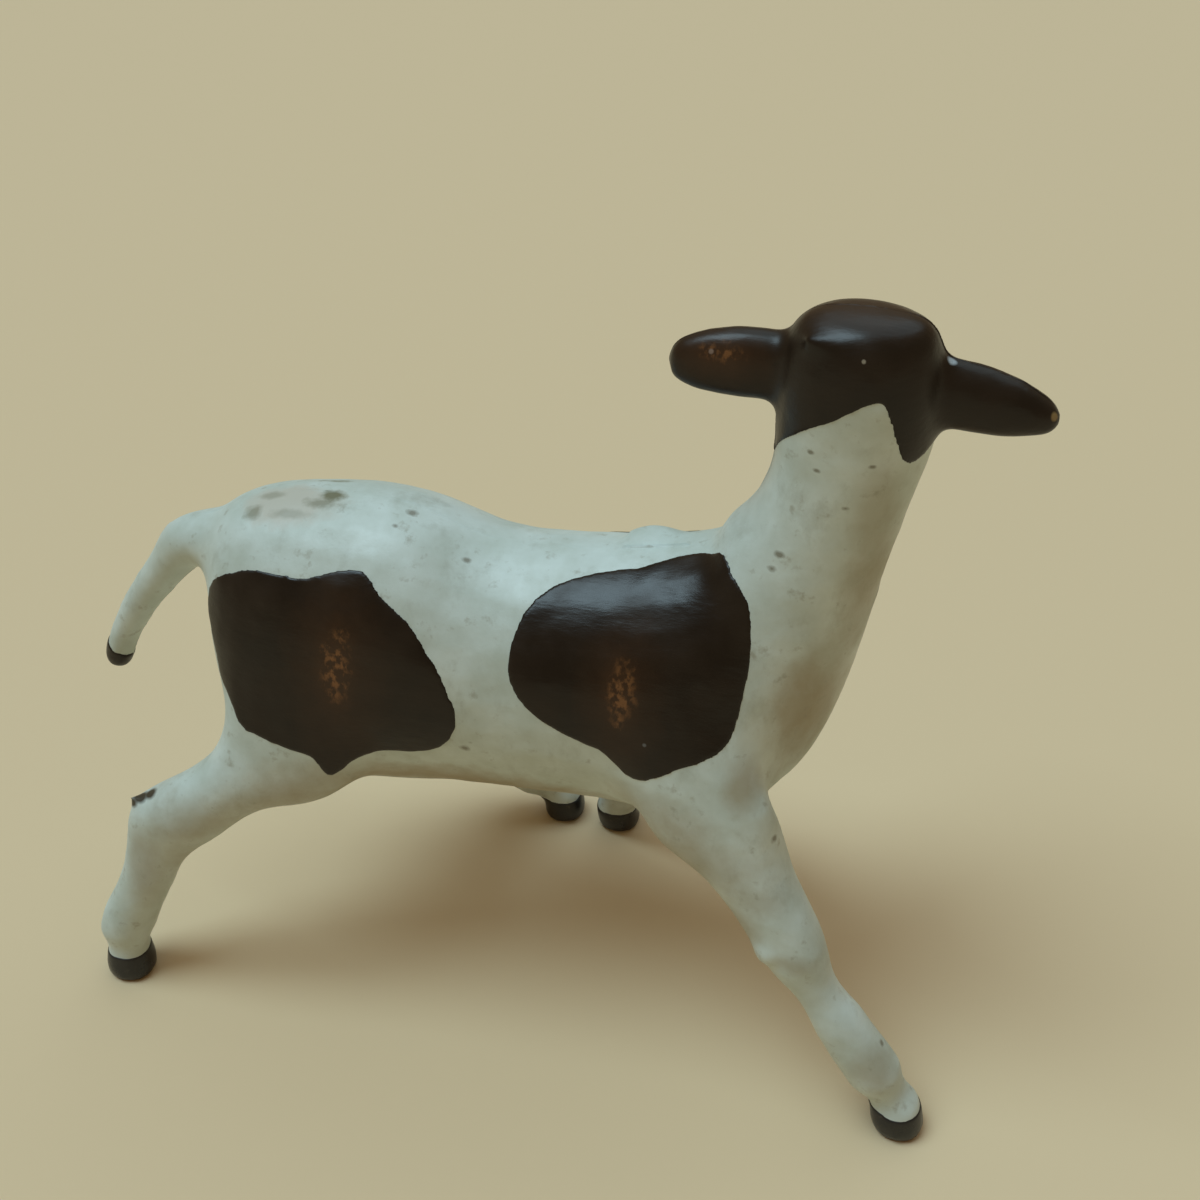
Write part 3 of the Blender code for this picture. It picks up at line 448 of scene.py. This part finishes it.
def painted_zone(name, nodes, height=FILM_HEIGHT, wander="", swellings=(), tug=None):
    """The film of paint over these CAD nodes and swellings: the skin's own surface inside their outline,
    a hair proud. The wander names the axes along which the brushed edge strays, and the tug is one stroke
    that drew the edge up."""
    added = [pebble("swelling", *place) for place in swellings]
    zone = join(added + [joined_copy(f"{name}_zone", nodes)])
    grow(zone, ZONE_GROWTH)
    apply_modifier(zone, "REMESH", mode="VOXEL", voxel_size=ZONE_VOXEL)
    if tug:
        centre, reach, lift = tug
        for vert in zone.data.vertices:
            fade = max(0, 1 - (vert.co * 1000 - Vector(centre)).length_squared / reach**2)
            vert.co.z += lift / 1000 * fade**2
    for axis in wander:
        stray = bpy.data.textures.new(f"brush_edge_{axis}", "CLOUDS")
        stray.noise_scale = BRUSH_WANDER_SIZE
        apply_modifier(
            zone,
            "DISPLACE",
            texture=stray,
            texture_coords="LOCAL",
            direction=axis,
            strength=BRUSH_WANDER,
            mid_level=0.5,
        )
    film = copy_of(skin, name)
    film.data.materials.clear()
    grow(film, height, even=False)
    apply_modifier(film, "BOOLEAN", operation="INTERSECT", object=zone, solver="MANIFOLD")
    bpy.data.objects.remove(zone)
    apply_modifier(film, "REMESH", mode="VOXEL", voxel_size=FILM_VOXEL)
    apply_modifier(film, "SMOOTH", factor=0.5, iterations=FILM_SMOOTH_STEPS)
    activate(film)
    bpy.ops.object.shade_smooth()
    return film


head = painted_zone(
    "head_paint",
    ["head", "right_eye", "left_eye"],
    swellings=POLL_RIDGE + EAR_ROOT_KNOB + BROWS + EAR_TIPS,
    tug=NAPE_TUG,
)
patches = [
    painted_zone(f"{node}_paint", [node], wander="XZ")
    for node in ("right_hip_patch", "right_shoulder_patch", "left_hip_patch", "left_shoulder_patch")
]
tail_tip = painted_zone("tail_tip_paint", ["tail_tip"], wander="Z", tug=TAIL_TIP_TUG)

BROWN = (0.0110, 0.0065, 0.0038)
BROWN_THIN = (0.0190, 0.0110, 0.0060)
# The rubbed brown, also used as the lighter brown of the painted highlight on the head's top
RUBBED_AND_SHEEN_BROWN = (0.050, 0.022, 0.009)
RUBBED_ORANGE = (0.215, 0.092, 0.032)
BROWN_GLOSS = 0.32
BROWN_GRAIN_HEIGHT = 0.00004
# Where the brown is thinned wide around each rub and worn through in its middle, and a wide painted
# highlight,
# lighter brown, on the top of the head: centres and half sizes in millimetres, and strengths
RUBBED_WIDE_AND_HEAD_SHEEN = [
    ((-9.5, -8.2, 27.6), (2.4, 3.0, 4.6), 0.55),
    ((-9.5, -8.2, 27.9), (1.0, 3.0, 2.4), 0.75),
    ((8.5, -7.5, 28.6), (1.9, 3.0, 3.6), 0.50),
    ((8.5, -7.5, 29.0), (0.8, 3.0, 1.7), 0.70),
    ((12.6, -1.6, 48.7), (2.0, 1.4, 1.1), 0.90),
    # A painted highlight: lighter brown over the top of the head
    ((19.5, 0.5, 52.0), (3.6, 3.2, 0.9), 0.55),
    ((-10.0, 7.5, 27.0), (2.0, 3.0, 3.4), 0.55),
    ((9.5, 7.0, 28.8), (1.8, 3.0, 2.8), 0.50),
]
RUBBED_DEEP = [
    ((-9.4, -8.2, 28.0), (0.75, 3.0, 1.9), 0.85),
    ((8.6, -7.5, 29.0), (0.70, 3.0, 1.5), 0.75),
    ((12.6, -1.6, 48.9), (1.0, 1.0, 0.42), 0.70),
    ((-10.2, 7.5, 27.2), (0.9, 3.0, 1.8), 0.80),
    ((9.6, 7.0, 29.0), (0.8, 3.0, 1.4), 0.70),
]
# Small chips down to a paler layer, and a painted glint on the knob at the ear's root: centre and radius in
# millimetres, and the colour of each
PALE_CHIPS_AND_GLINT = [
    ((10.3, -8.4, 26.0), 0.13, (0.11, 0.11, 0.11)),
    ((20.5, -4.0, 50.4), 0.12, (0.26, 0.23, 0.18)),
    ((12.1, -1.5, 48.85), 0.15, (0.20, 0.14, 0.11)),
    # A painted glint, pale blue-grey, on the knob at the ear's root
    ((25.0, -0.95, 49.65), 0.30, (0.34, 0.39, 0.43)),
    ((30.7, -1.1, 47.0), 0.27, (0.25, 0.17, 0.07)),
]
material, tree, shader, place = new_material("brown_paint_aged", roughness=0.34)
shader.inputs["Specular IOR Level"].default_value = BROWN_GLOSS
ragged = noise(tree, place, size=0.0010, detail=5, rough=0.7)
depth = spread(tree, noise(tree, place, size=0.003, detail=4), low=0.35, high=0.70)
colour = blend(tree, depth, BROWN, BROWN_THIN)
upright = stretched(tree, place, (1.0, 1.0, 0.6))
streaked = noise(tree, upright, size=0.0008, detail=4, rough=0.7)
upright = stretched(tree, place, (1.0, 1.0, 0.7))
flaked = spread(tree, noise(tree, upright, size=0.00042, detail=3, rough=0.6), low=0.45, high=0.60)
# Brown thinned around each rub, and the painted highlight on the head's top
for centre, radii, strength in RUBBED_WIDE_AND_HEAD_SHEEN:
    mark = spot(tree, place, ragged, centre, radii, edge=0.7, raggedness=1.0)
    colour = blend(tree, combine(tree, "MULTIPLY", mark, strength), colour, RUBBED_AND_SHEEN_BROWN)
for centre, radii, strength in RUBBED_DEEP:
    mark = spot(tree, place, streaked, centre, radii, edge=0.5, raggedness=2.2)
    share = combine(tree, "MULTIPLY", combine(tree, "MULTIPLY", mark, strength), flaked)
    colour = blend(tree, share, colour, RUBBED_ORANGE)
# Pale chips, and the painted glint at the ear's root
for centre, radius, tint in PALE_CHIPS_AND_GLINT:
    pale_mark = spot(tree, place, ragged, centre, (radius, radius, radius), edge=0.25, raggedness=0.8)
    colour = blend(tree, pale_mark, colour, tint)
tree.links.new(colour, shader.inputs["Base Color"])
tree.links.new(spread(tree, depth, 0, 1, to_low=0.28, to_high=0.42), shader.inputs["Roughness"])
lengthwise = stretched(tree, place, (0.35, 1.0, 1.0))
brushed = noise(tree, lengthwise, size=0.0006, detail=4, rough=0.6)
bump(tree, shader, brushed, BROWN_GRAIN_HEIGHT, strength=0.7)
for piece in [head, *patches, tail_tip]:
    give_material(piece, material)
    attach(piece, "root")
    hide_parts(piece.name.removesuffix("_paint"))

# The muzzle: pinkish paint brushed over the end of the face, on top of the brown, and darker in the
# nostrils.
MUZZLE_PINK = (0.40, 0.235, 0.175)
MUZZLE_DEEP = (0.27, 0.145, 0.105)
MUZZLE_DARK = (0.075, 0.035, 0.028)
MUZZLE_HEIGHT = 0.00011
MUZZLE_GRAIN_HEIGHT = 0.00003
muzzle = painted_zone("muzzle_paint", ["muzzle"], MUZZLE_HEIGHT)
material, tree, shader, place = new_material("muzzle_paint_aged", roughness=0.45)
depth = spread(tree, noise(tree, place, size=0.002, detail=4), low=0.35, high=0.70)
colour = blend(tree, depth, MUZZLE_PINK, MUZZLE_DEEP)
ragged = noise(tree, place, size=0.0006, detail=3, rough=0.6)
for centre, radii, _ in NOSTRILS:
    hole = spot(tree, place, ragged, centre, [max(radii)] * 3, edge=0.25, raggedness=0.4)
    colour = blend(tree, hole, colour, MUZZLE_DARK)
tree.links.new(colour, shader.inputs["Base Color"])
tree.links.new(spread(tree, depth, 0, 1, to_low=0.38, to_high=0.52), shader.inputs["Roughness"])
grain = noise(tree, place, size=0.0006, detail=4, rough=0.6)
bump(tree, shader, grain, MUZZLE_GRAIN_HEIGHT, strength=0.6)
give_material(muzzle, material)
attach(muzzle, "root")
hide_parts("muzzle")

# The hooves and the eyes: black paint, the hooves dipped by brush to an uneven line and worn at their
# edges, the eyes a drop each with a thin pale rim.
BLACK = (0.009, 0.009, 0.010)
BLACK_THIN = (0.020, 0.018, 0.016)
SCUFF = (0.10, 0.085, 0.06)
BLACK_GRAIN_HEIGHT = 0.00003
EYE_GROWTH = 0.00012
EYE_RIM = (0.24, 0.20, 0.14)
EYE_BLACK = (0.007, 0.007, 0.008)
EYE_GRAIN_HEIGHT = 0.00002
# Centres and half sizes of the black in the eyes, in millimetres
EYE_CENTRES = [(FACE_MIDDLE + side * 2.9, 4.93, 46.95) for side in (-1, 1)]
EYE_PUPIL = (2.0, 0.60, 0.60)
hooves = [
    painted_zone(f"{node}_paint", [node], wander="Z")
    for node in ("right_hind_hoof", "left_hind_hoof", "right_fore_hoof", "left_fore_hoof")
]
eyes = [joined_copy(f"{node}_bead", [node]) for node in ("right_eye", "left_eye")]
for eye in eyes:
    grow(eye, EYE_GROWTH)
    apply_modifier(eye, "SUBSURF", levels=2, render_levels=2)
    bpy.ops.object.shade_smooth()
material, tree, shader, place = new_material("black_paint_aged", roughness=0.30)
depth = spread(tree, noise(tree, place, size=0.0016, detail=4), low=0.35, high=0.70)
colour = blend(tree, depth, BLACK, BLACK_THIN)
scuffed = spread(tree, noise(tree, place, size=0.0008, detail=4, rough=0.7), low=0.62, high=0.74)
colour = blend(tree, combine(tree, "MULTIPLY", scuffed, 0.5), colour, SCUFF)
tree.links.new(colour, shader.inputs["Base Color"])
tree.links.new(spread(tree, depth, 0, 1, to_low=0.24, to_high=0.42), shader.inputs["Roughness"])
grain = noise(tree, place, size=0.0006, detail=4, rough=0.6)
bump(tree, shader, grain, BLACK_GRAIN_HEIGHT, strength=0.6)
for hoof in hooves:
    give_material(hoof, material)
    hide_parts(hoof.name.removesuffix("_paint"))

material, tree, shader, place = new_material("eye_paint_aged", roughness=0.22)
ragged = noise(tree, place, size=0.0006, detail=3, rough=0.6)
colour = EYE_RIM
for centre in EYE_CENTRES:
    pupil = spot(tree, place, ragged, centre, EYE_PUPIL, edge=0.12, raggedness=0.3)
    colour = blend(tree, pupil, colour, EYE_BLACK)
tree.links.new(colour, shader.inputs["Base Color"])
tree.links.new(spread(tree, ragged, 0, 1, to_low=0.16, to_high=0.30), shader.inputs["Roughness"])
bump(tree, shader, ragged, EYE_GRAIN_HEIGHT, strength=0.4)
for eye in eyes:
    give_material(eye, material)
    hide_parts(eye.name.removesuffix("_bead"))
for piece in hooves + eyes:
    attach(piece, "root")

# The mould line: a fine raised line where the two halves of the mould met, up the chest, the neck and the
# poll and along the spine, with a step in front of the withers where the flash was trimmed. It lifts the
# moulding and the head's paint alike. Then the soles are cut flat, because the figure stands on them.
MOULD_PLANE = -0.0005
MOULD_LINE_HALF_WIDTH = 0.00009
MOULD_LINE_HEIGHT = 0.00006
MOULD_LINE_TOLERANCE = 0.00001
MOULD_LINE_WEAR_SIZE = 1 / 350
MOULD_LINE_MEAN_SHARE = 0.5
MOULD_LINE_SHARE_SWING = 1.5
MOULD_LINE_FOOT = 0.010
NECK_TOP = 0.0435
HEAD_TOP = 0.060
WHOLE_LENGTH = (-0.040, 0.040)
FLASH_STEP = (0.0071, 0.0110)
FLASH_STEP_FOOT = 0.030
FLASH_STEP_HEIGHT = 0.00020
SKIN_SOLE_HEIGHT = 0.00005


def raise_line(piece, low, high, foot, top, height, steady):
    """Lifts the vertices on the mould plane between these X and these Z, more and less along the line as
    it is worn. Steady is the least share of the height."""
    for vert in piece.data.vertices:
        on_line = abs(vert.co.y - MOULD_PLANE) < MOULD_LINE_TOLERANCE
        if on_line and low < vert.co.x < high and foot < vert.co.z < top:
            wear = cloud.noise(vert.co / MOULD_LINE_WEAR_SIZE)
            share = min(1, max(steady, MOULD_LINE_MEAN_SHARE + MOULD_LINE_SHARE_SWING * wear))
            vert.co += vert.normal * height * share


def cut_flat_soles(piece, height):
    """Cuts off what reaches under this height, and closes each sole."""
    activate(piece)
    bpy.ops.object.mode_set(mode="EDIT")
    bpy.ops.mesh.select_all(action="SELECT")
    bpy.ops.mesh.bisect(
        plane_co=(0, 0, height),
        plane_no=(0, 0, 1),
        use_fill=True,
        clear_inner=True,
        threshold=CUT_THRESHOLD,
    )
    bpy.ops.object.mode_set(mode="OBJECT")


for piece, top in ((skin, NECK_TOP), (head, HEAD_TOP)):
    activate(piece)
    bpy.ops.object.mode_set(mode="EDIT")
    for aside in (-MOULD_LINE_HALF_WIDTH, 0, MOULD_LINE_HALF_WIDTH):
        bpy.ops.mesh.select_all(action="SELECT")
        bpy.ops.mesh.bisect(
            plane_co=(0, MOULD_PLANE + aside, 0), plane_no=(0, 1, 0), threshold=CUT_THRESHOLD
        )
    bpy.ops.object.mode_set(mode="OBJECT")
    raise_line(piece, *WHOLE_LENGTH, MOULD_LINE_FOOT, top, MOULD_LINE_HEIGHT, steady=0)
raise_line(skin, *FLASH_STEP, FLASH_STEP_FOOT, NECK_TOP, FLASH_STEP_HEIGHT, steady=0.8)
cut_flat_soles(skin, SKIN_SOLE_HEIGHT)
for hoof in hooves:
    cut_flat_soles(hoof, 0)

# The place for the picture: a plain pale floor, a broad soft light from high on the left, a weaker and
# broader one from behind, a warm room, and the camera at the photograph's angle.
FLOOR_COLOUR = (0.70, 0.54, 0.34)
FLOOR_ROUGHNESS = 0.9
FLOOR_SIZE = 3.0
ROOM_TINT = (1.0, 0.72, 0.42)
ROOM_STRENGTH = 0.25
BACKDROP = (0.52, 0.45, 0.295)
SKY_TINT = (0.62, 0.87, 1.0)
LIGHT_DISTANCE = 0.3
# Each light: name, where it shines from, the angle in degrees that it fills and its power
LIGHTS = [
    ("window_light", (-0.42, -0.14, 1.0), 32, 1.95),
    ("ceiling_light", (0.10, 0.50, 1.0), 60, 0.70),
]
bpy.ops.object.select_all(action="DESELECT")
bpy.ops.mesh.primitive_plane_add(size=FLOOR_SIZE, location=(0, 0, 0))
floor = bpy.context.object
floor.name = "floor"
paper = bpy.data.materials.new("pale_paper")
paper.use_nodes = True
surface = paper.node_tree.nodes["Principled BSDF"]
surface.inputs["Base Color"].default_value = (*FLOOR_COLOUR, 1)
surface.inputs["Roughness"].default_value = FLOOR_ROUGHNESS
floor.data.materials.append(paper)

world = bpy.data.worlds.new("soft_room")
world.use_nodes = True
tree = world.node_tree
room = tree.nodes["Background"]
room.inputs["Color"].default_value = (*ROOM_TINT, 1)
room.inputs["Strength"].default_value = ROOM_STRENGTH
backdrop = tree.nodes.new("ShaderNodeBackground")
backdrop.inputs["Color"].default_value = (*BACKDROP, 1)
seen = tree.nodes.new("ShaderNodeMixShader")
tree.links.new(tree.nodes.new("ShaderNodeLightPath").outputs["Is Camera Ray"], seen.inputs["Fac"])
tree.links.new(room.outputs["Background"], seen.inputs[1])
tree.links.new(backdrop.outputs["Background"], seen.inputs[2])
tree.links.new(seen.outputs["Shader"], tree.nodes["World Output"].inputs["Surface"])
bpy.context.scene.world = world
for name, way, angle, power in LIGHTS:
    bpy.ops.object.light_add(type="SUN", location=Vector(way) * LIGHT_DISTANCE)
    light = bpy.context.object
    light.name = name
    light.data.angle = math.radians(angle)
    light.data.energy = power
    light.data.color = SKY_TINT
    light.rotation_euler = Vector(way).to_track_quat("Z", "Y").to_euler()

TARGET = Vector((0.005568, -0.000502, 0.03045))
CAMERA_DISTANCE = 0.09474
CAMERA_AZIMUTH = math.radians(14)
CAMERA_ELEVATION = math.radians(35)
CAMERA_LENS = 45
CAMERA_NEAR_LIMIT = 0.001
aside, ahead = math.sin(CAMERA_AZIMUTH), math.cos(CAMERA_AZIMUTH)
level, steep = math.cos(CAMERA_ELEVATION), math.sin(CAMERA_ELEVATION)
back = Vector((aside * level, -ahead * level, steep))
bpy.ops.object.camera_add(location=TARGET + back * CAMERA_DISTANCE)
camera = bpy.context.object
camera.rotation_euler = (-back).to_track_quat("-Z", "Y").to_euler()
camera.data.lens = CAMERA_LENS
camera.data.clip_start = CAMERA_NEAR_LIMIT
bpy.context.scene.camera = camera
bpy.context.scene.view_settings.view_transform = "Standard"
